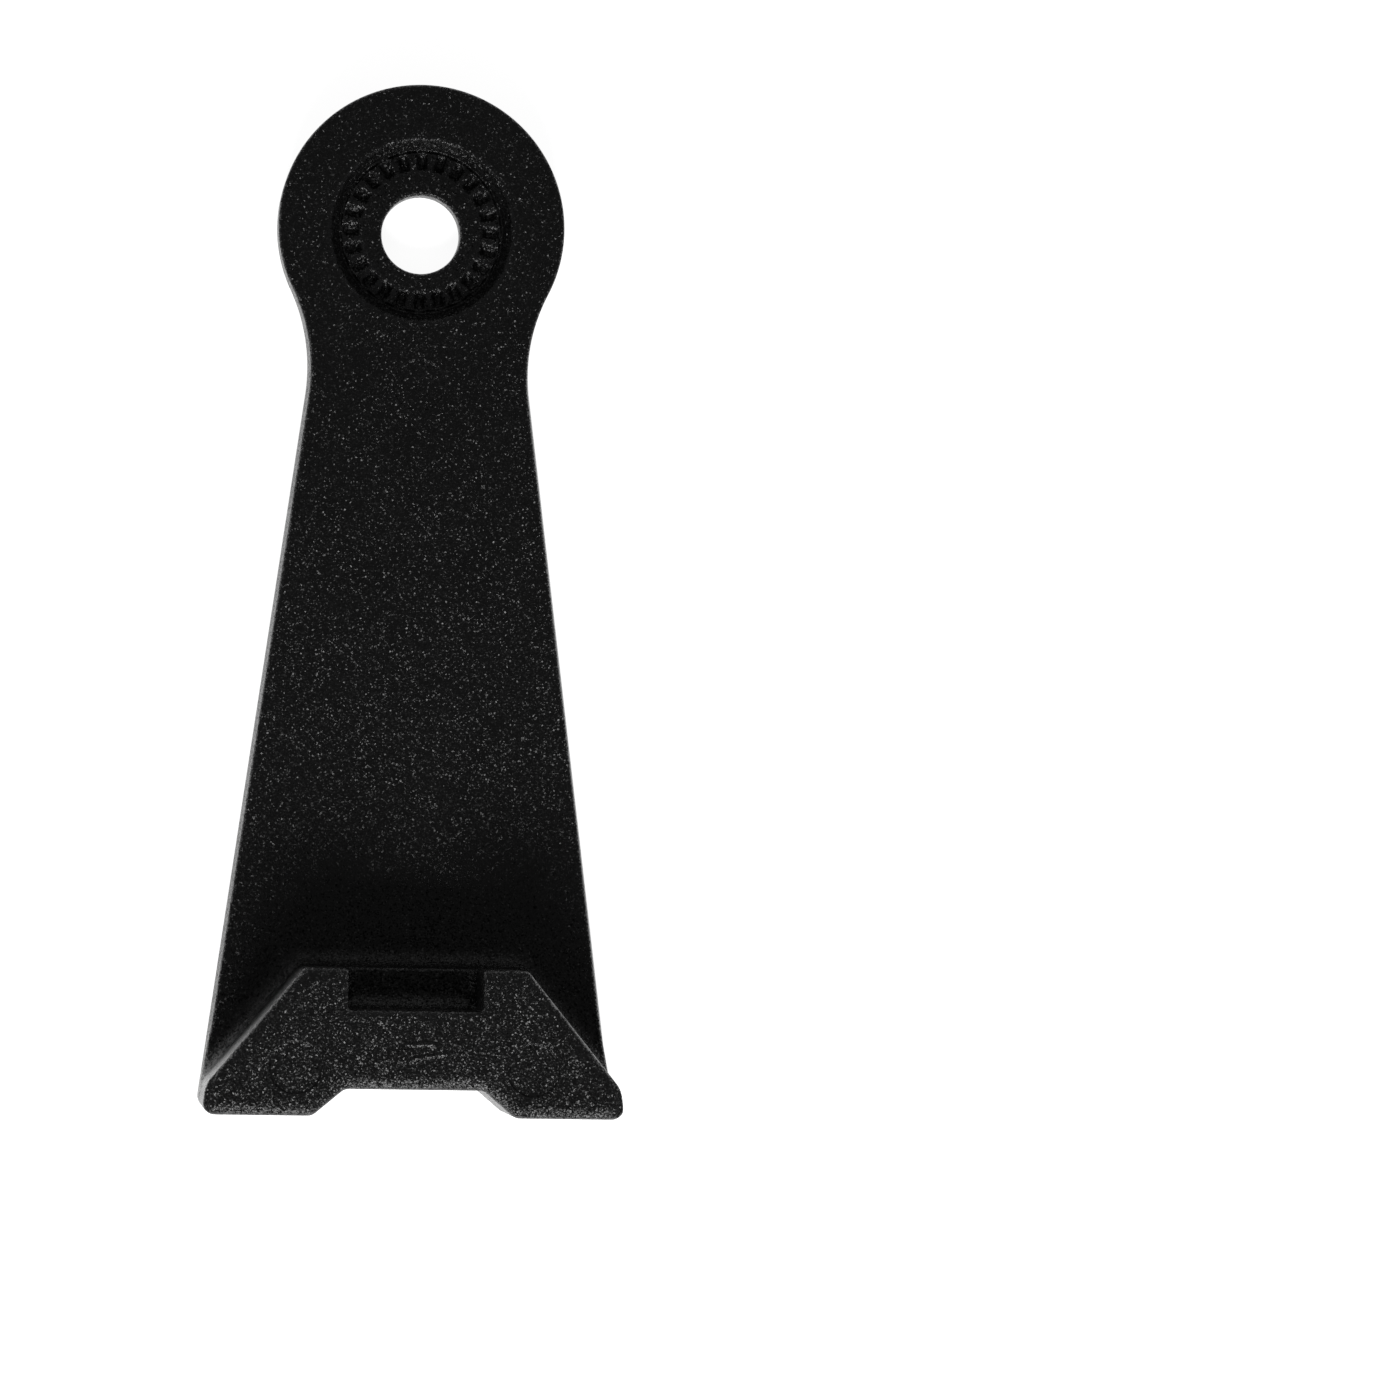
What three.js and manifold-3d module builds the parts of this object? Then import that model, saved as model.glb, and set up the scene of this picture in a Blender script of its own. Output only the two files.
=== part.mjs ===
// Wheel chock arm: one black moulding, lying on its flat back.
// A tapered plate carries a round hub with a bolt bore and a ring of radial teeth at one end, and a
// thick foot block that stands up from the plate at the other.
// Millimetres. X across the arm, Y from the foot to the hub, Z up from the back to the foot's face.
// The origin is the middle of the arm's box on the plane of its back.
import * as THREE from "three";
import { mergeVertices } from "three/addons/utils/BufferGeometryUtils.js";
import Module from "manifold-3d";

const wasm = await Module();
wasm.setup();

// Driving dimensions of the plate and hub
const LENGTH = 127.6;
const FOOT_END_HALF = 25.8;
const TAPER = 0.1337; // what each side loses for every millimetre towards the hub
const HUB_R = 17.8;
const NECK_R = 23;
const PLATE_T = 5;
const EDGE_R = 0.6;
const BACK_EDGE_R = 0.4;
const END_CORNER_R = 1.6;
const PARTING_Z = 2.5; // the sides stand straight up to here and lean in from here to the front
const SIDE_DRAFT = 0.35;

// Driving dimensions of the foot block, heights measured from the foot end
const DEPTH = 22.5;
const FACE_EDGE_R = 1.2;
const SHOULDER_HALF = 25.3;
const SHOULDER_Y = 3.5;
const SHOULDER_R = 4;
const EAR_HALF = 13.55;
const EAR_Y = 17.9;
const EAR_R = 1.2;
const ROOT_R = 2.5;

// The pocket between the foot's ears, and the slot under the foot
const POCKET_HALF = 8.2;
const POCKET_Y = 12.85;
const POCKET_FLOOR_Z = 8.5;
const POCKET_FLOOR_R = 2.2;
const POCKET_CORNER_R = 0.5;
const SLOT_TOP_HALF = 8.4;
const SLOT_BOTTOM_HALF = 12.3;
const SLOT_H = 3.3;
const SLOT_R = 1.5;

// Bore, toothed recess and ejector marks
const BORE_R = 4.9;
const BORE_BACK_R = 4.85;
const BORE_EDGE_R = 0.5;
const BORE_DROP = 0.34; // the bore lies this much nearer the foot than the ring of teeth
const RING_DROP = 0.36; // the ring lies this much nearer the foot than the hub's outline
const RECESS_R = 10.3;
const RECESS_EDGE_R = 0.8;
const RECESS_DEPTH = 2;
const TOOTH_COUNT = 24;
const TOOTH_INNER_R = 7.6;
const TOOTH_OUTER_R = 9.9;
const TOOTH_H = 0.7;
const GAP_TOP_W = 1.5; // the gaps between the teeth narrow towards their floor
const GAP_FLOOR_W = 0.5;
const MARK_R = 3.175;
const MARK_DEPTH = 0.2;
const MARK_FOOT_X = 14.4;
const MARK_FOOT_Y = 5.85;
const NECK_MARK_DROP = 19.7; // from the hub's centre

const HUB_Y = LENGTH / 2 - HUB_R;
const FOOT_Y = -LENGTH / 2;
const RING_Y = HUB_Y - RING_DROP;
const BORE_Y = RING_Y - BORE_DROP;
const SINK = 0.01; // how far joined solids run into each other
const CURVE_STEPS = 5; // straight steps in each rounding of an edge or corner
const HUB_STEPS = 64;
const ROUND_STEPS = 48;

// A closed mesh geometry as a solid for joining and cutting.
function solidOf(geometry) {
  geometry.deleteAttribute("normal");
  geometry.deleteAttribute("uv");
  const merged = mergeVertices(geometry, 1e-4);
  return new wasm.Manifold(
    new wasm.Mesh({
      numProp: 3,
      vertProperties: merged.attributes.position.array,
      triVerts: new Uint32Array(merged.index.array),
    }),
  );
}

function geometryOf(solid) {
  const mesh = solid.getMesh();
  const geometry = new THREE.BufferGeometry();
  geometry.setAttribute("position", new THREE.BufferAttribute(mesh.vertProperties, 3));
  geometry.setIndex(new THREE.BufferAttribute(mesh.triVerts, 1));
  geometry.computeVertexNormals();
  return geometry;
}

// Points of an arc, both ends included.
function arc(cx, cy, r, from, to, steps) {
  return Array.from({ length: steps + 1 }, (_, i) => {
    const angle = from + ((to - from) * i) / steps;
    return new THREE.Vector2(cx + r * Math.cos(angle), cy + r * Math.sin(angle));
  });
}

// An outline from corners [x, y, radius], anticlockwise, each corner rounded by its own radius.
function rounded(corners) {
  return corners.flatMap(([x, y, r], i) => {
    const here = new THREE.Vector2(x, y);
    if (!r) return [here];
    const [px, py] = corners[(i + corners.length - 1) % corners.length];
    const [nx, ny] = corners[(i + 1) % corners.length];
    const back = new THREE.Vector2(px, py).sub(here).normalize();
    const ahead = new THREE.Vector2(nx, ny).sub(here).normalize();
    const half = Math.acos(back.dot(ahead)) / 2;
    const middle = back.clone().add(ahead).normalize();
    const centre = here.clone().addScaledVector(middle, r / Math.sin(half));
    const start = here.clone().addScaledVector(back, r / Math.tan(half)).sub(centre);
    const turn = Math.sign(back.cross(ahead)) * (2 * half - Math.PI);
    return arc(centre.x, centre.y, r, start.angle(), start.angle() + turn, CURVE_STEPS);
  });
}

// A closed body from one anticlockwise outline, moved outwards by rings[i][1] at height rings[i][0].
// A ring with a third value of 1 follows the upper outline, which has as many points.
function stack(outline, rings, upper = outline) {
  const count = outline.length;
  const outwards = outline.map((p, i) => {
    const before = p.clone().sub(outline[(i + count - 1) % count]).normalize();
    const after = outline[(i + 1) % count].clone().sub(p).normalize();
    const mean = before.clone().add(after).normalize();
    return new THREE.Vector2(mean.y, -mean.x).divideScalar(mean.dot(after));
  });
  const positions = rings.flatMap(([z, offset, share = 0]) =>
    outline.flatMap((p, i) => {
      const base = p.clone().lerp(upper[i], share).addScaledVector(outwards[i], offset);
      return [base.x, base.y, z];
    }),
  );
  const index = [];
  for (let level = 0; level + 1 < rings.length; level++) {
    for (let i = 0; i < count; i++) {
      const a = level * count + i;
      const b = level * count + ((i + 1) % count);
      index.push(a, b, b + count, a, b + count, a + count);
    }
  }
  const top = (rings.length - 1) * count;
  for (const [a, b, c] of THREE.ShapeUtils.triangulateShape(outline, [])) {
    index.push(a, c, b, a + top, b + top, c + top);
  }
  const geometry = new THREE.BufferGeometry();
  geometry.setAttribute("position", new THREE.Float32BufferAttribute(positions, 3));
  geometry.setIndex(index);
  return solidOf(geometry);
}

// Rings that round an edge outwards: from the full outline at z - r to r inside it at z.
function roundTo(z, r) {
  return Array.from({ length: CURVE_STEPS + 1 }, (_, i) => {
    const angle = (Math.PI / 2) * (i / CURVE_STEPS);
    return [z - r + r * Math.sin(angle), -r + r * Math.cos(angle)];
  });
}

// The same rounding at the bottom, from r inside the outline at z to the full outline at z + r.
function roundFrom(z, r) {
  return roundTo(-z, r)
    .map(([height, offset]) => [-height, offset])
    .reverse();
}

// Rings of a hollow fillet: from r outside the outline at z to the outline itself at z + r.
function filletFrom(z, r) {
  return Array.from({ length: CURVE_STEPS + 1 }, (_, i) => {
    const angle = (Math.PI / 2) * (i / CURVE_STEPS);
    return [z + r - r * Math.cos(angle), r - r * Math.sin(angle)];
  });
}

function lathe(profile, steps) {
  const points = profile.map(([r, z]) => new THREE.Vector2(r, z));
  const geometry = new THREE.LatheGeometry(points, steps);
  geometry.rotateX(Math.PI / 2);
  return solidOf(geometry);
}

// The arm's outline: the slotted foot end, straight tapering sides, hollow necks and the round hub.
// endHalf is half the width that the sides run out to at the foot end.
function armOutline(endHalf) {
  const normal = new THREE.Vector2(1, TAPER).normalize();
  const hub = new THREE.Vector2(0, HUB_Y);
  const sidePoint = new THREE.Vector2(endHalf, FOOT_Y);
  const hubToSide = hub.clone().sub(sidePoint).dot(normal);
  const swing = Math.acos((NECK_R - hubToSide) / (HUB_R + NECK_R));
  const hubAngle = normal.angle() - swing;
  const neckX = (HUB_R + NECK_R) * Math.cos(hubAngle);
  const neckY = HUB_Y + (HUB_R + NECK_R) * Math.sin(hubAngle);
  const sideAngle = normal.angle();
  const corner = (side, x, y, r) => [side * x, FOOT_Y + y, r];
  const end = rounded([
    [-neckX + NECK_R * normal.x, neckY - NECK_R * normal.y, 0],
    corner(-1, endHalf, 0, END_CORNER_R),
    corner(-1, SLOT_BOTTOM_HALF, 0, SLOT_R),
    corner(-1, SLOT_TOP_HALF, SLOT_H, SLOT_R),
    corner(1, SLOT_TOP_HALF, SLOT_H, SLOT_R),
    corner(1, SLOT_BOTTOM_HALF, 0, SLOT_R),
    corner(1, endHalf, 0, END_CORNER_R),
    [neckX - NECK_R * normal.x, neckY - NECK_R * normal.y, 0],
  ]);
  const neckSteps = 10;
  const right = arc(neckX, neckY, NECK_R, Math.PI + sideAngle, Math.PI + hubAngle, neckSteps);
  const head = arc(0, HUB_Y, HUB_R, hubAngle, Math.PI - hubAngle, HUB_STEPS);
  const left = arc(-neckX, neckY, NECK_R, -hubAngle, -sideAngle, neckSteps);
  return [...end, ...right.slice(1), ...head.slice(1), ...left.slice(1, -1)];
}

// The foot block seen from its face, run on past the foot end so that the arm's outline trims it.
function footOutline() {
  const overrun = 10;
  const lowHalf = SHOULDER_HALF + TAPER * (SHOULDER_Y + overrun);
  return rounded([
    [-lowHalf, FOOT_Y - overrun, 0],
    [lowHalf, FOOT_Y - overrun, 0],
    [SHOULDER_HALF, FOOT_Y + SHOULDER_Y, SHOULDER_R],
    [EAR_HALF, FOOT_Y + EAR_Y, EAR_R],
    [-EAR_HALF, FOOT_Y + EAR_Y, EAR_R],
    [-SHOULDER_HALF, FOOT_Y + SHOULDER_Y, SHOULDER_R],
  ]);
}

function plate() {
  const front = roundTo(PLATE_T, EDGE_R).map(([z, offset]) => [z, offset, 1]);
  return stack(
    armOutline(FOOT_END_HALF),
    [...roundFrom(0, BACK_EDGE_R), [PARTING_Z, 0], ...front],
    armOutline(FOOT_END_HALF - SIDE_DRAFT),
  );
}

function foot() {
  const block = stack(footOutline(), [
    [PARTING_Z, ROOT_R],
    ...filletFrom(PLATE_T - SINK, ROOT_R),
    ...roundTo(DEPTH, FACE_EDGE_R),
  ]);
  const trim = stack(armOutline(FOOT_END_HALF), [
    [BACK_EDGE_R, 0],
    ...roundTo(DEPTH, FACE_EDGE_R),
  ]);
  return block.intersect(trim);
}

// The pocket is open towards the hub and at the foot's face, and has filleted walls at its floor.
function pocket() {
  const beyond = 2 * ROOT_R;
  const outline = rounded([
    [-POCKET_HALF, FOOT_Y + POCKET_Y, POCKET_CORNER_R],
    [POCKET_HALF, FOOT_Y + POCKET_Y, POCKET_CORNER_R],
    [POCKET_HALF, FOOT_Y + EAR_Y + beyond, 0],
    [-POCKET_HALF, FOOT_Y + EAR_Y + beyond, 0],
  ]);
  const straight = stack(outline, [
    [POCKET_FLOOR_Z + POCKET_FLOOR_R, 0],
    [DEPTH + 1, 0],
  ]);
  const levels = Array.from({ length: CURVE_STEPS + 1 }, (_, i) => {
    const angle = (Math.PI / 2) * (i / CURVE_STEPS);
    const inset = POCKET_FLOOR_R * (1 - Math.sin(angle));
    return [inset, POCKET_FLOOR_Z + POCKET_FLOOR_R * (1 - Math.cos(angle))];
  });
  const section = [
    ...levels.map(([inset, z]) => new THREE.Vector2(POCKET_HALF - inset, z)),
    ...levels.toReversed().map(([inset, z]) => new THREE.Vector2(inset - POCKET_HALF, z)),
  ];
  const across = standing(section, FOOT_Y + POCKET_Y, beyond + EAR_Y - POCKET_Y);
  const wallSection = [
    ...levels.toReversed().map(([inset, z]) => new THREE.Vector2(FOOT_Y + POCKET_Y + inset, z)),
    new THREE.Vector2(FOOT_Y + EAR_Y + beyond, POCKET_FLOOR_Z),
    new THREE.Vector2(FOOT_Y + EAR_Y + beyond, POCKET_FLOOR_Z + POCKET_FLOOR_R),
  ];
  const along = lying(wallSection, 2 * POCKET_HALF);
  return straight.add(across.intersect(along));
}

// A section drawn in X and Z, pushed along +Y from y.
function standing(section, y, length) {
  const geometry = new THREE.ExtrudeGeometry(new THREE.Shape(section), {
    depth: length,
    bevelEnabled: false,
  });
  geometry.rotateX(Math.PI / 2);
  geometry.translate(0, y + length, 0);
  return solidOf(geometry);
}

// A section drawn in Y and Z, pushed along X for the whole width, centred.
function lying(section, width) {
  const geometry = new THREE.ExtrudeGeometry(new THREE.Shape(section), {
    depth: width,
    bevelEnabled: false,
  });
  geometry.rotateX(Math.PI / 2);
  geometry.rotateZ(Math.PI / 2);
  geometry.translate(-width / 2, 0, 0);
  return solidOf(geometry);
}

function recess() {
  const floor = PLATE_T - RECESS_DEPTH;
  const profile = [
    [0, floor],
    [RECESS_R, floor],
    ...Array.from({ length: CURVE_STEPS + 1 }, (_, i) => {
      const angle = (Math.PI / 2) * (i / CURVE_STEPS);
      const out = RECESS_EDGE_R * (1 - Math.cos(angle));
      return [RECESS_R + out, PLATE_T - RECESS_EDGE_R * (1 - Math.sin(angle))];
    }),
    [RECESS_R + RECESS_EDGE_R, PLATE_T + 1],
    [0, PLATE_T + 1],
  ];
  return lathe(profile, ROUND_STEPS).translate([0, RING_Y, 0]);
}

// The bore narrows towards the back and has a rounded rim at the recess floor.
function bore() {
  const floor = PLATE_T - RECESS_DEPTH;
  const profile = [
    [0, -1],
    [BORE_BACK_R, -1],
    ...Array.from({ length: CURVE_STEPS + 1 }, (_, i) => {
      const angle = (Math.PI / 2) * (i / CURVE_STEPS);
      const out = BORE_EDGE_R * (1 - Math.cos(angle));
      return [BORE_R + out, floor - BORE_EDGE_R * (1 - Math.sin(angle))];
    }),
    [BORE_R + BORE_EDGE_R, PLATE_T],
    [0, PLATE_T],
  ];
  return lathe(profile, ROUND_STEPS).translate([0, BORE_Y, 0]);
}

// One of the gaps sunk into the recess floor, which leave the radial teeth standing between them.
function toothGap(number) {
  const slope = (GAP_TOP_W - GAP_FLOOR_W) / 2;
  const half = GAP_TOP_W / 2;
  const outline = [
    new THREE.Vector2(-half, TOOTH_INNER_R),
    new THREE.Vector2(half, TOOTH_INNER_R),
    new THREE.Vector2(half, TOOTH_OUTER_R),
    new THREE.Vector2(-half, TOOTH_OUTER_R),
  ];
  const toothTop = PLATE_T - RECESS_DEPTH;
  return stack(outline, [
    [toothTop - TOOTH_H, -slope],
    [toothTop, 0],
    [toothTop + TOOTH_H, 0],
  ])
    .rotate([0, 0, (number * 360) / TOOTH_COUNT])
    .translate([0, RING_Y, 0]);
}

// A shallow round mark left by an ejector pin, sunk into a face at height z.
function ejectorMark(x, y, z) {
  const profile = [
    [0, z - MARK_DEPTH],
    [MARK_R, z - MARK_DEPTH],
    [MARK_R, z + 1],
    [0, z + 1],
  ];
  return lathe(profile, ROUND_STEPS).translate([x, y, 0]);
}

function arm() {
  let solid = plate().add(foot());
  solid = solid.subtract(pocket()).subtract(recess());
  for (let number = 0; number < TOOTH_COUNT; number++) {
    solid = solid.subtract(toothGap(number));
  }
  solid = solid.subtract(bore());
  solid = solid.subtract(ejectorMark(0, HUB_Y - NECK_MARK_DROP, PLATE_T));
  for (const side of [-1, 1]) {
    solid = solid.subtract(ejectorMark(side * MARK_FOOT_X, FOOT_Y + MARK_FOOT_Y, DEPTH));
  }
  return solid;
}

const blackPlastic = new THREE.MeshStandardMaterial({
  color: 0x161617,
  roughness: 0.55,
  metalness: 0,
});

const chock = new THREE.Group();
const armMesh = new THREE.Mesh(geometryOf(arm()), blackPlastic);
armMesh.name = "chock_arm";
chock.add(armMesh);

export default chock;
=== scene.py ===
import math

import bpy
import numpy as np
from mathutils import Matrix, Vector


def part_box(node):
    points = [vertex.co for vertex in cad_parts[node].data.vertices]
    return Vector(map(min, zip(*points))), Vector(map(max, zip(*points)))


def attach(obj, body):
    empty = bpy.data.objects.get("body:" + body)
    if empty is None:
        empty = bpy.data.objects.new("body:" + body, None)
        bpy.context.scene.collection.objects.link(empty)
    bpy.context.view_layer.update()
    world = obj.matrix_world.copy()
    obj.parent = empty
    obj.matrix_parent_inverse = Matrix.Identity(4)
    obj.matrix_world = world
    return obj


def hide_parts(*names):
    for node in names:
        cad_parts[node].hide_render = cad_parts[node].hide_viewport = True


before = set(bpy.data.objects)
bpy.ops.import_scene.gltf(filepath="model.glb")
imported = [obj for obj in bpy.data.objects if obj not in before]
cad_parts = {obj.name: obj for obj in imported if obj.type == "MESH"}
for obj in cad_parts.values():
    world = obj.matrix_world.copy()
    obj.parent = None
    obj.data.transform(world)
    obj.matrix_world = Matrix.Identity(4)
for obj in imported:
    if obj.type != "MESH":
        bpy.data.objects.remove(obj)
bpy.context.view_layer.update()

MM = 0.001

# From the frame
box_low, box_high = (np.array(corner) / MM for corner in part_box("chock_arm"))
FOOT_Y = box_low[1]
DEPTH = box_high[2]

# Plate and hub
FOOT_END_HALF = 25.8
TAPER = 0.1337
HUB_R = 17.8
HUB_Y = box_high[1] - HUB_R
NECK_R = 23.0
PLATE_T = 5.0
PLATE_EDGE_R = 0.4
BACK_EDGE_R = 0.4
END_CORNER_R = 1.6
PARTING_Z = 2.5
SIDE_DRAFT = 0.35
DRAFT_FADE = (0.5, 4.0)  # the sides' lean fades in over this distance from the foot block

# Foot block, heights measured from the foot end
SHOULDER = (25.3, 3.5)
SHOULDER_R = 4.0
BLOCK_OVERRUN = 16.0  # how far the block runs on past the foot end before the sides trim it
EAR = (13.55, 17.9)
EAR_R = 1.2
ROOT_R = 2.5
FOOT_EDGE_R = 0.4
CROWN_W = 1.7  # the foot's face falls away over this width towards its outline
CROWN_R = 3.6
POCKET_HALF = 8.2
POCKET_Y = 12.85
POCKET_FLOOR_Z = 8.5
POCKET_FLOOR_R = 2.2
POCKET_CORNER_R = 0.5
POCKET_EDGE_R = 0.5
SLOT_TOP_HALF = 8.4
SLOT_BOTTOM_HALF = 12.3
SLOT_H = 3.3
SLOT_R = 1.5

# Bore and toothed recess
RING_Y = HUB_Y - 0.36  # the ring of teeth lies a little nearer the foot than the hub's outline
BORE_Y = RING_Y - 0.34  # and the bore a little nearer still
BORE_R = 4.9
BORE_BACK_R = 4.85
BORE_EDGE_R = 0.5
RECESS_R = 10.3
RECESS_DEPTH = 2.0
RECESS_EDGE_R = 0.8
RECESS_FLOOR_R = 0.15
GROOVE_R = 10.1  # a small groove runs round the recess floor at its wall
GROOVE_SIZE = 0.22
GROOVE_EDGE_R = 0.08
TOOTH_COUNT = 24
TOOTH_INNER_R = 7.6
TOOTH_OUTER_R = 9.9
TOOTH_H = 0.7
TOOTH_EDGE_R = 0.25
GAP_TOP_HALF = 0.75
GAP_FLOOR_HALF = 0.25

# Moulding marks
MARK_R = 3.175
MARK_DEPTH = 0.18
MARK_EDGE_R = 0.12
NECK_MARK = (0.0, HUB_Y - 19.7)
FOOT_MARK = (14.4, FOOT_Y + 5.85)
DASHES = ((0.55, 8.8, 1.7, 1.0), (1.8, 7.4, 1.9, 9.5))  # x, height, half length, slope in degrees
DASH_HALF_WIDTH = 0.2
DASH_H = 0.12

# The mesh: grid steps, how far the grid reaches past the shape, and the triangles kept.
# No grid line may lie in one of the flat faces, where the net would fold.
HUB_STEP = 0.16
NECK_STEP = 0.3
PLATE_STEP = 0.5
PLATE_SIDE_STEP = 0.4
FOOT_STEP = 0.21
FOOT_SIDE_STEP = 0.25
SKIN_STEP = 0.17
BLOCK_FLOOR_STEP = 0.25
BLOCK_STEP = 0.5
FACE_STEP = 0.11
GRID_MARGIN = 0.5
HUB_REACH = RECESS_R + 1.4
SHOULDER_REACH = 2.0
EAR_REACH = 4.0
NECK_MARK_REACH = 4.0
FACE_REACH = 1.0
SETTLE_ROUNDS = 2
MAX_FACES = 185_000
SLOPE_STEP = 0.01
BEND_STEP = 0.25

# Material, in metres, shares and linear colour
GRAIN = 0.00028
GRAIN_HEIGHT = 0.00006
FINE_PER_GRAIN = 2.2
FINE_SHARE = 0.35
FACET = 0.00018  # the sparkling grain: small facets, each turned its own way
FACET_TILT = 1.45
PATCH = 0.006
EDGE_BEND = (0.25, 0.9)  # the bend at which wear starts, and at which it is full
EDGE_POLISH = -0.08
PATCH_TINT = 0.2
ROUGHNESS = (0.24, 0.4)
PLASTIC = (0.004, 0.004, 0.0041)
WORN_PLASTIC = (0.012, 0.012, 0.0125)

# Studio
FLOOR_SIZE = 4.0
FLOOR_GLOW = 0.9  # a light table
FLOOR_ROUGHNESS = (0.85, 0.95)
HORIZON_LIGHT = 0.16
ZENITH_LIGHT = 0.08
ZENITH_HEIGHT = 0.8
CAMERA_PLACE = (-46, -37, 751)
CAMERA_TARGET = (35.76, -12.05, 5)
CAMERA_ROLL = 1.0
CAMERA_LENS = 155
LIGHT_TARGET = (0, 0, 0)
# name: place in mm, size in m, power in W
LIGHTS = {
    "key_light": ((-15, -235, 168), (0.16, 0.09), 0.5),
    "fill_light": ((0, 300, 150), (0.2, 0.1), 0.035),
}


def unit(v):
    return v / np.hypot(*v)


def arc_part(centre, radius, start, sweep):
    return ("arc", np.asarray(centre, float), radius, start, sweep)


def rounded(corners, closed=True):
    """The lines and arcs of an anticlockwise outline through corners (x, y, radius)."""
    joins = []
    for i, (x, y, radius) in enumerate(corners):
        here = np.array((x, y), float)
        if not radius:
            joins.append((here, here, None))
            continue
        back = unit(np.array(corners[i - 1][:2], float) - here)
        ahead = unit(np.array(corners[(i + 1) % len(corners)][:2], float) - here)
        half = math.acos(float(back @ ahead)) / 2
        reach = radius / math.tan(half)
        centre = here + unit(back + ahead) * radius / math.sin(half)
        first = here + back * reach - centre
        bend = math.copysign(1, back[0] * ahead[1] - back[1] * ahead[0])
        turn = arc_part(centre, radius, math.atan2(first[1], first[0]), bend * (2 * half - math.pi))
        joins.append((here + back * reach, here + ahead * reach, turn))
    parts = []
    for i, (_, leave, turn) in enumerate(joins):
        if turn:
            parts.append(turn)
        if closed or i + 1 < len(joins):
            parts.append(("line", leave, joins[(i + 1) % len(joins)][0]))
    return parts


def outline_distance(parts, x, y):
    """Signed distance to a smooth closed outline, negative inside."""
    nearest = np.full(np.broadcast(x, y).shape, np.inf)
    signed = nearest.copy()
    for part in parts:
        if part[0] == "line":
            _, p, q = part
            dx, dy = q - p
            along = np.clip(((x - p[0]) * dx + (y - p[1]) * dy) / (dx * dx + dy * dy), 0, 1)
            distance = np.hypot(x - p[0] - along * dx, y - p[1] - along * dy)
            side = dy * (x - p[0]) - dx * (y - p[1])
        else:
            _, centre, radius, start, sweep = part
            direction = math.copysign(1, sweep)
            vx, vy = x - centre[0], y - centre[1]
            turned = np.mod((np.arctan2(vy, vx) - start) * direction, 2 * math.pi)
            slack = 1e-6
            outside = (turned > abs(sweep) + slack) & (turned < 2 * math.pi - slack)
            side = (np.hypot(vx, vy) - radius) * direction
            distance = np.where(outside, np.inf, np.abs(side))
        closer = distance < nearest
        nearest = np.where(closer, distance, nearest)
        signed = np.where(closer, np.copysign(distance, side), signed)
    return signed


def arm_outline(end_half):
    """The arm seen from its face: slotted foot end, tapering sides, hollow necks and round hub."""
    normal = unit(np.array((1, TAPER)))
    side_angle = math.atan2(normal[1], normal[0])
    hub_to_side = (np.array((0, HUB_Y)) - np.array((end_half, FOOT_Y))) @ normal
    swing = math.acos((NECK_R - hub_to_side) / (HUB_R + NECK_R))
    hub_angle = side_angle - swing
    neck_x = (HUB_R + NECK_R) * math.cos(hub_angle)
    neck_y = HUB_Y + (HUB_R + NECK_R) * math.sin(hub_angle)
    tangent = (neck_x - NECK_R * normal[0], neck_y - NECK_R * normal[1])
    half = [
        (SLOT_TOP_HALF, FOOT_Y + SLOT_H, SLOT_R),
        (SLOT_BOTTOM_HALF, FOOT_Y, SLOT_R),
        (end_half, FOOT_Y, END_CORNER_R),
        (*tangent, 0),
    ]
    mirrored = [(-x, y, r) for x, y, r in reversed(half)]
    return [
        *rounded(mirrored + half, closed=False),
        arc_part((neck_x, neck_y), NECK_R, math.pi + side_angle, -swing),
        arc_part((0, HUB_Y), HUB_R, hub_angle, math.pi - 2 * hub_angle),
        arc_part((-neck_x, neck_y), NECK_R, -hub_angle, -swing),
    ]


def block_outline():
    """The foot block seen from its face, run on past the foot end."""
    half = [
        (SHOULDER[0] + TAPER * (SHOULDER[1] + BLOCK_OVERRUN), FOOT_Y - BLOCK_OVERRUN, 1),
        (SHOULDER[0], FOOT_Y + SHOULDER[1], SHOULDER_R),
        (EAR[0], FOOT_Y + EAR[1], EAR_R),
    ]
    return rounded(half + [(-x, y, r) for x, y, r in reversed(half)])


OUTLINES = (arm_outline(FOOT_END_HALF), arm_outline(FOOT_END_HALF - SIDE_DRAFT), block_outline())


def both(a, b, r):
    """What two solids share, with the edge between them rounded by r."""
    return np.minimum(np.maximum(a, b), -r) + np.hypot(np.maximum(a + r, 0), np.maximum(b + r, 0))


def either(a, b, r):
    """Two solids joined, with a hollow fillet of radius r between them."""
    return np.maximum(np.minimum(a, b), r) - np.hypot(np.maximum(r - a, 0), np.maximum(r - b, 0))


def smooth(value, start, end):
    t = np.clip((value - start) / (end - start), 0, 1)
    return t * t * (3 - 2 * t)


def blank(x, y, z):
    """The arm before its pocket, recess, bore and marks are sunk."""
    wide, slim, block = (outline_distance(parts, x, y) for parts in OUTLINES)
    lean = np.clip((z - PARTING_Z) / (PLATE_T - PARTING_Z), 0, 1) * smooth(block, *DRAFT_FADE)
    side = wide + (slim - wide) * lean
    upper = either(z - PLATE_T, block, ROOT_R)
    solid = both(upper, side, PLATE_EDGE_R)
    near = np.clip(CROWN_W + both(block, side, SHOULDER_R / 2), 0, CROWN_W)
    fall = CROWN_R - np.sqrt(CROWN_R**2 - near**2)
    solid = both(solid, z + fall - DEPTH, FOOT_EDGE_R)
    return both(solid, -z, BACK_EDGE_R)


def sink_pocket(solid, x, y, z):
    walls = both(np.abs(x) - POCKET_HALF, FOOT_Y + POCKET_Y - y, POCKET_CORNER_R)
    pocket = both(walls, POCKET_FLOOR_Z - z, POCKET_FLOOR_R)
    return both(solid, -pocket, POCKET_EDGE_R)


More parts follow.
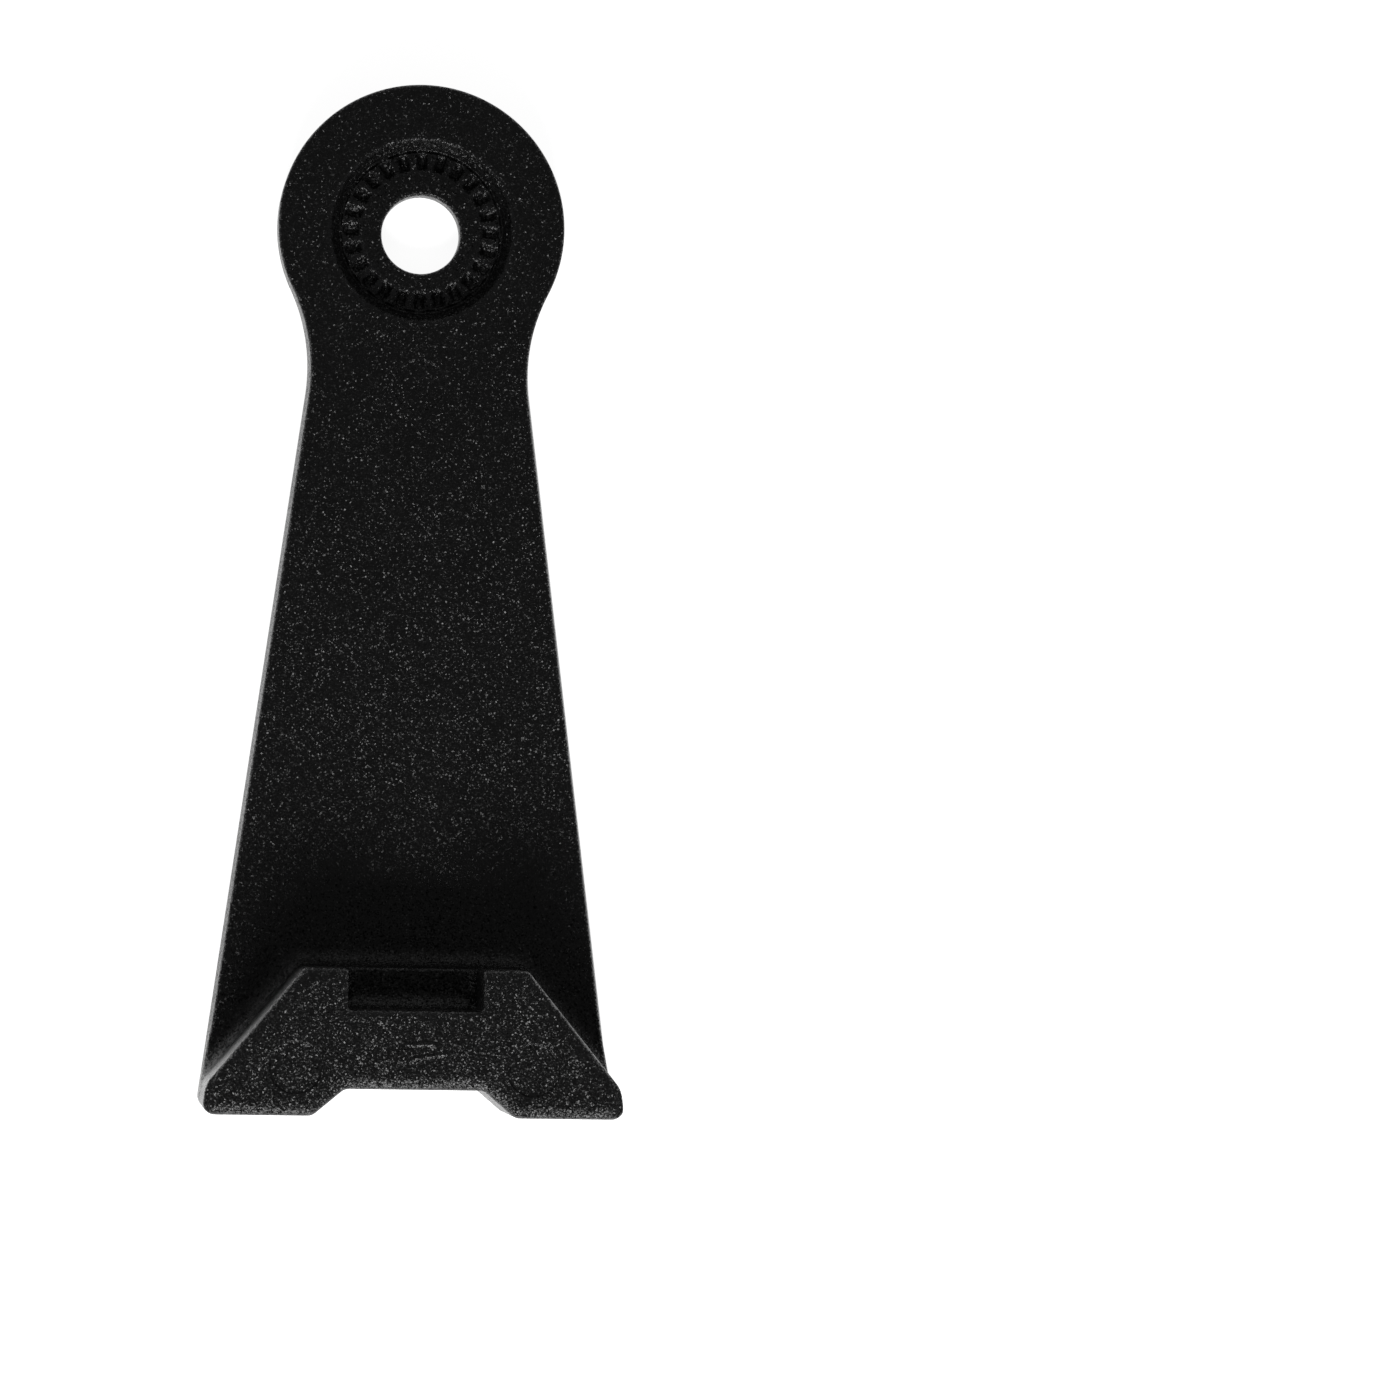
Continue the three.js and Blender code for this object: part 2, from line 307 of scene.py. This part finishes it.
def sink_hub(solid, x, y, z):
    """The recess, the groove round its floor, the gaps between the teeth, and the bore."""
    across, up = x, y - RING_Y
    out = np.hypot(across, up)
    tooth_top = PLATE_T - RECESS_DEPTH
    recess = both(out - RECESS_R, tooth_top - z, RECESS_FLOOR_R)
    solid = both(solid, -recess, RECESS_EDGE_R)
    groove = np.hypot(out - GROOVE_R, z - tooth_top) - GROOVE_SIZE
    solid = both(solid, -groove, GROOVE_EDGE_R)
    pitch = 2 * math.pi / TOOTH_COUNT
    angle = np.mod(np.arctan2(across, up) + pitch / 2, pitch) - pitch / 2
    side, along = out * np.abs(np.sin(angle)), out * np.cos(angle)
    slope = (GAP_TOP_HALF - GAP_FLOOR_HALF) / TOOTH_H
    rise = slope * (z - tooth_top)
    flat = 1 / math.hypot(1, slope)
    flanks = (side - GAP_TOP_HALF - rise) * flat
    ends = np.maximum(TOOTH_INNER_R - rise - along, along - TOOTH_OUTER_R - rise) * flat
    gap = both(both(flanks, ends, TOOTH_EDGE_R), tooth_top - TOOTH_H - z, TOOTH_EDGE_R)
    solid = both(solid, -gap, TOOTH_EDGE_R)
    bore_r = BORE_BACK_R + (BORE_R - BORE_BACK_R) * z / tooth_top
    return both(solid, bore_r - np.hypot(x, y - BORE_Y), BORE_EDGE_R)


def sink_mark(solid, x, y, z, centre, face):
    """A shallow round ejector mark in the face at height face."""
    mark = both(np.hypot(x - centre[0], y - centre[1]) - MARK_R, face - MARK_DEPTH - z, MARK_EDGE_R)
    return both(solid, -mark, MARK_EDGE_R)


def raise_dashes(solid, x, y, z):
    """Two short raised strokes on the foot's face, a plain moulding mark."""
    for centre_x, height, half_length, degrees in DASHES:
        turn = math.radians(degrees)
        dx, dy = x - centre_x, y - FOOT_Y - height
        along = np.abs(dx * math.cos(turn) + dy * math.sin(turn))
        across = dy * math.cos(turn) - dx * math.sin(turn)
        stroke = np.hypot(np.maximum(along - half_length, 0), across) - DASH_HALF_WIDTH
        ridge = both(stroke, np.abs(z - DEPTH) - DASH_H, DASH_H)
        solid = either(solid, ridge, DASH_H)
    return solid


def field(x, y, z):
    """Signed distance to the whole moulding, negative inside."""
    solid = blank(x, y, z)
    solid = sink_pocket(solid, x, y, z)
    solid = sink_hub(solid, x, y, z)
    solid = sink_mark(solid, x, y, z, NECK_MARK, PLATE_T)
    for side in (-1, 1):
        solid = sink_mark(solid, x, y, z, (side * FOOT_MARK[0], FOOT_MARK[1]), DEPTH)
    return raise_dashes(solid, x, y, z)


def grid_lines(*spans):
    """Positions from spans (start, end, step), each span divided evenly."""
    pieces = []
    for start, end, step in spans:
        count = max(1, round((end - start) / step))
        pieces.append(np.linspace(start, end, count, endpoint=False))
    return np.concatenate([*pieces, [spans[-1][1]]])


def surface_net(axes, values):
    """Vertices and quads round the zero level of values on a grid with these axes."""
    inside = values < 0
    shape = np.array(values.shape)
    points, quads = [], []
    for a in range(3):
        b, c = (a + 1) % 3, (a + 2) % 3
        low = tuple(slice(0, -1) if i == a else slice(None) for i in range(3))
        high = tuple(slice(1, None) if i == a else slice(None) for i in range(3))
        at = np.argwhere(inside[low] != inside[high])
        beyond = at.copy()
        beyond[:, a] += 1
        v0, v1 = values[tuple(at.T)], values[tuple(beyond.T)]
        point = np.stack([axes[i][at[:, i]] for i in range(3)], 1)
        step = axes[a][beyond[:, a]] - axes[a][at[:, a]]
        point[:, a] += step * v0 / (v0 - v1)
        around = np.repeat(at[:, None, :], 4, 1)
        around[:, 1:3, b] -= 1
        around[:, 2:4, c] -= 1
        ring = np.ravel_multi_index(tuple(np.moveaxis(around, 2, 0)), shape)
        ring[v0 > 0] = ring[v0 > 0][:, ::-1]
        quads.append(ring)
        points.append(np.repeat(point, 4, 0))
    rings = np.concatenate(quads)
    cells, owner = np.unique(rings.ravel(), return_inverse=True)
    owner = owner.ravel()
    where = np.concatenate(points)
    share = np.bincount(owner)
    vertices = np.stack([np.bincount(owner, where[:, i]) / share for i in range(3)], 1)
    return vertices, owner.reshape(-1, 4)


def slopes(points):
    """The field and its gradient at points."""
    h = SLOPE_STEP
    x, y, z = points.T
    middle = field(x, y, z)
    gradient = np.stack(
        [
            (field(x + h, y, z) - field(x - h, y, z)) / (2 * h),
            (field(x, y + h, z) - field(x, y - h, z)) / (2 * h),
            (field(x, y, z + h) - field(x, y, z - h)) / (2 * h),
        ],
        1,
    )
    return middle, gradient


def settle(points):
    """Moves points onto the surface, no further than max_move in a round."""
    least_steepness, max_move = 0.25, 0.2
    for _ in range(SETTLE_ROUNDS):
        distance, gradient = slopes(points)
        steepness = np.maximum((gradient**2).sum(1), least_steepness)
        move = np.clip(distance / steepness, -max_move, max_move)
        points = points - gradient * move[:, None]
    return points


def mesh_from(name, vertices, faces):
    """A mesh in metres from vertices in millimetres and faces that all have as many corners."""
    corners = faces.shape[1]
    mesh = bpy.data.meshes.new(name)
    mesh.vertices.add(len(vertices))
    mesh.vertices.foreach_set("co", (vertices * MM).astype(np.float32).ravel())
    mesh.loops.add(faces.size)
    mesh.loops.foreach_set("vertex_index", faces.astype(np.int32).ravel())
    mesh.polygons.add(len(faces))
    mesh.polygons.foreach_set("loop_start", np.arange(0, faces.size, corners, dtype=np.int32))
    mesh.update(calc_edges=True)
    return mesh


def arm_mesh():
    """The whole moulding as a fine net of quads."""
    foot_top = FOOT_Y + EAR[1] + EAR_REACH
    neck = NECK_MARK[1] - NECK_MARK_REACH
    shoulder = SHOULDER[0] - SHOULDER_REACH
    pocket_root = POCKET_FLOOR_Z + POCKET_FLOOR_R
    right = [
        (HUB_REACH, shoulder, PLATE_SIDE_STEP),
        (shoulder, FOOT_END_HALF + GRID_MARGIN, FOOT_SIDE_STEP),
    ]
    left = [(-end, -start, step) for start, end, step in reversed(right)]
    axes = (
        grid_lines(*left, (-HUB_REACH, HUB_REACH, HUB_STEP), *right),
        grid_lines(
            (FOOT_Y - GRID_MARGIN, foot_top, FOOT_STEP),
            (foot_top, neck, PLATE_STEP),
            (neck, RING_Y - HUB_REACH, NECK_STEP),
            (RING_Y - HUB_REACH, RING_Y + HUB_REACH, HUB_STEP),
            (RING_Y + HUB_REACH, box_high[1] + GRID_MARGIN, NECK_STEP),
        ),
        grid_lines(
            (-GRID_MARGIN, PLATE_T + GRID_MARGIN, SKIN_STEP),
            (PLATE_T + GRID_MARGIN, pocket_root, BLOCK_FLOOR_STEP),
            (pocket_root, DEPTH - FACE_REACH, BLOCK_STEP),
            (DEPTH - FACE_REACH, DEPTH + GRID_MARGIN, FACE_STEP),
        ),
    )
    x, y, z = np.ix_(*axes)
    vertices, faces = surface_net(axes, field(x, y, z))
    return mesh_from("chock_arm_net", settle(vertices), faces)


def light_mesh(net):
    """The net cut down to MAX_FACES triangles, put back on the surface, with its true normals."""
    draft = link(bpy.data.objects.new("chock_arm_draft", net))
    fewer = draft.modifiers.new("fewer", "DECIMATE")
    fewer.ratio = MAX_FACES / (2 * len(net.polygons))
    fewer.use_collapse_triangulate = True
    evaluated = draft.evaluated_get(bpy.context.evaluated_depsgraph_get())
    shaped = bpy.data.meshes.new_from_object(evaluated)
    bpy.data.objects.remove(draft)
    vertices = np.empty(3 * len(shaped.vertices), np.float32)
    shaped.vertices.foreach_get("co", vertices)
    faces = np.empty(3 * len(shaped.polygons), np.int32)
    shaped.loops.foreach_get("vertex_index", faces)
    points = settle(vertices.reshape(-1, 3).astype(float) / MM)
    mesh = mesh_from("chock_arm", points, faces.reshape(-1, 3))
    mesh.shade_smooth()
    gradient = slopes(points)[1]
    normals = gradient / np.linalg.norm(gradient, axis=1)[:, None]
    mesh.normals_split_custom_set_from_vertices(normals)
    edge = mesh.attributes.new("edge", "FLOAT", "POINT")
    edge.data.foreach_set("value", bend(points).astype(np.float32))
    return mesh


def bend(points):
    """How sharply the surface bends, from 1 on an outer edge to -1 in a root."""
    h = BEND_STEP
    x, y, z = points.T
    ring = field(x + h, y, z) + field(x - h, y, z) + field(x, y + h, z)
    ring = ring + field(x, y - h, z) + field(x, y, z + h) + field(x, y, z - h)
    return np.clip((ring - 6 * field(x, y, z)) / h**2 * 0.5, -1, 1)


class Nodes:
    """A short way to add and join shader nodes."""

    def __init__(self, owner, shader="Principled BSDF"):
        owner.use_nodes = True
        self.tree = owner.node_tree
        self.shader = self.tree.nodes[shader]

    def add(self, kind, inputs=(), **settings):
        node = self.tree.nodes.new("ShaderNode" + kind)
        for name, value in settings.items():
            setattr(node, name, value)
        for name, value in dict(inputs).items():
            self.put(node, name, value)
        return node

    def put(self, node, name, value):
        if isinstance(value, bpy.types.NodeSocket):
            self.tree.links.new(value, node.inputs[name])
        else:
            node.inputs[name].default_value = value

    def mapped(self, value, from_low, from_high, to_low, to_high):
        sizes = {
            "Value": value,
            "From Min": from_low,
            "From Max": from_high,
            "To Min": to_low,
            "To Max": to_high,
        }
        return self.add("MapRange", sizes).outputs["Result"]

    def maths(self, operation, a, b):
        return self.add("Math", {0: a, 1: b}, operation=operation).outputs[0]


def black_plastic():
    """Black moulded plastic with a fine sparkling grain, a little worn along its edges."""
    material = bpy.data.materials.new("black_plastic")
    n = Nodes(material)
    place = n.add("TexCoord").outputs["Object"]

    # Grain: raised pebbles and a finer unevenness
    pebbles = n.add(
        "TexVoronoi",
        {"Vector": place, "Scale": 1 / GRAIN, "Smoothness": 0.6},
        feature="SMOOTH_F1",
    )
    fine = n.add(
        "TexNoise",
        {"Vector": place, "Scale": FINE_PER_GRAIN / GRAIN, "Detail": 3.0, "Roughness": 0.6},
    )
    height = n.maths("MULTIPLY", fine.outputs["Fac"], FINE_SHARE)
    grain = n.maths("SUBTRACT", height, pebbles.outputs["Distance"])
    bump = n.add("Bump", {"Height": grain, "Strength": 1.0, "Distance": GRAIN_HEIGHT})

    # Facets: each small cell turns the surface its own way, by its own amount
    facets = n.add("TexVoronoi", {"Vector": place, "Scale": 1 / FACET})
    chosen = n.add(
        "TexWhiteNoise",
        {"Vector": facets.outputs["Position"]},
        noise_dimensions="3D",
    )
    amount = n.mapped(chosen.outputs["Value"], 0, 1, 0, FACET_TILT)
    centred = n.add(
        "VectorMath",
        {0: facets.outputs["Color"], 1: (0.5, 0.5, 0.5)},
        operation="SUBTRACT",
    )
    lean = n.add("VectorMath", {0: centred.outputs[0], "Scale": amount}, operation="SCALE")
    leaning = n.add(
        "VectorMath",
        {0: bump.outputs["Normal"], 1: lean.outputs[0]},
        operation="ADD",
    )
    normal = n.add("VectorMath", {0: leaning.outputs[0]}, operation="NORMALIZE")

    # Wear: outer edges, more in some patches than in others
    patches = n.add(
        "TexNoise",
        {"Vector": place, "Scale": 1 / PATCH, "Detail": 4.0, "Roughness": 0.55},
    ).outputs["Fac"]
    edge = n.add("Attribute", attribute_name="edge", attribute_type="GEOMETRY").outputs["Fac"]
    worn = n.maths("MULTIPLY", n.mapped(edge, *EDGE_BEND, 0, 1), n.mapped(patches, 0.35, 0.65, 0.3, 1))
    tint = n.mapped(patches, 0.3, 0.7, 0, PATCH_TINT)
    shade = n.add("ValToRGB", {"Fac": n.maths("ADD", worn, tint)})
    ramp = shade.color_ramp.elements
    ramp[0].color = (*PLASTIC, 1)
    ramp[1].color = (*WORN_PLASTIC, 1)
    uneven = n.mapped(fine.outputs["Fac"], 0.3, 0.7, *ROUGHNESS)
    rough = n.maths("ADD", uneven, n.maths("MULTIPLY", worn, EDGE_POLISH))

    n.put(n.shader, "Base Color", shade.outputs["Color"])
    n.put(n.shader, "Roughness", rough)
    n.put(n.shader, "Normal", normal.outputs[0])
    n.put(n.shader, "IOR", 1.5)
    return material


def floor_material():
    material = bpy.data.materials.new("floor")
    n = Nodes(material)
    place = n.add("TexCoord").outputs["Object"]
    cloud = n.add("TexNoise", {"Vector": place, "Scale": 3.0, "Detail": 2.0})
    n.put(n.shader, "Base Color", (0.9, 0.9, 0.9, 1))
    n.put(n.shader, "Emission Color", (1, 1, 1, 1))
    n.put(n.shader, "Emission Strength", FLOOR_GLOW)
    n.put(n.shader, "Roughness", n.mapped(cloud.outputs["Fac"], 0.3, 0.7, *FLOOR_ROUGHNESS))
    return material


def link(obj):
    bpy.context.scene.collection.objects.link(obj)
    return obj


def make_arm():
    mesh = light_mesh(arm_mesh())
    mesh.materials.append(black_plastic())
    arm = link(bpy.data.objects.new("chock_arm_moulding", mesh))
    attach(arm, "root")
    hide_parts("chock_arm")


def make_floor():
    half = FLOOR_SIZE / 2
    corners = np.array([(-half, -half, 0), (half, -half, 0), (half, half, 0), (-half, half, 0)])
    mesh = mesh_from("floor", corners / MM, np.arange(4).reshape(1, 4))
    mesh.materials.append(floor_material())
    link(bpy.data.objects.new("floor", mesh))


def aim(obj, place, target, up):
    """Puts obj at place with its -Z axis towards target and its top towards up."""
    back = (Vector(place) - Vector(target)).normalized()
    right = Vector(up).cross(back).normalized()
    turn = Matrix((right, back.cross(right), back)).transposed()
    obj.matrix_world = Matrix.Translation(Vector(place)) @ turn.to_4x4()


def make_light(name, place, size, power):
    data = bpy.data.lights.new(name, "AREA")
    data.shape = "RECTANGLE"
    data.size, data.size_y = size
    data.energy = power
    light = link(bpy.data.objects.new(name, data))
    light.visible_camera = False  # it lights the arm and stays out of the picture
    aim(light, Vector(place) * MM, Vector(LIGHT_TARGET) * MM, (0, 0, 1))


def make_camera():
    data = bpy.data.cameras.new("camera")
    data.lens = CAMERA_LENS
    camera = link(bpy.data.objects.new("camera", data))
    roll = math.radians(CAMERA_ROLL)
    up = (-math.sin(roll), math.cos(roll), 0)
    aim(camera, Vector(CAMERA_PLACE) * MM, Vector(CAMERA_TARGET) * MM, up)
    bpy.context.scene.camera = camera


def make_world():
    world = bpy.data.worlds.new("studio")
    n = Nodes(world, "Background")
    way = n.add("SeparateXYZ", {0: n.add("TexCoord").outputs["Generated"]})
    n.put(n.shader, "Color", (1, 1, 1, 1))
    sky = n.mapped(way.outputs["Z"], 0, ZENITH_HEIGHT, HORIZON_LIGHT, ZENITH_LIGHT)
    n.put(n.shader, "Strength", sky)
    bpy.context.scene.world = world
    bpy.context.scene.view_settings.view_transform = "Standard"


make_arm()
make_floor()
make_world()
for light_name, settings in LIGHTS.items():
    make_light(light_name, *settings)
make_camera()
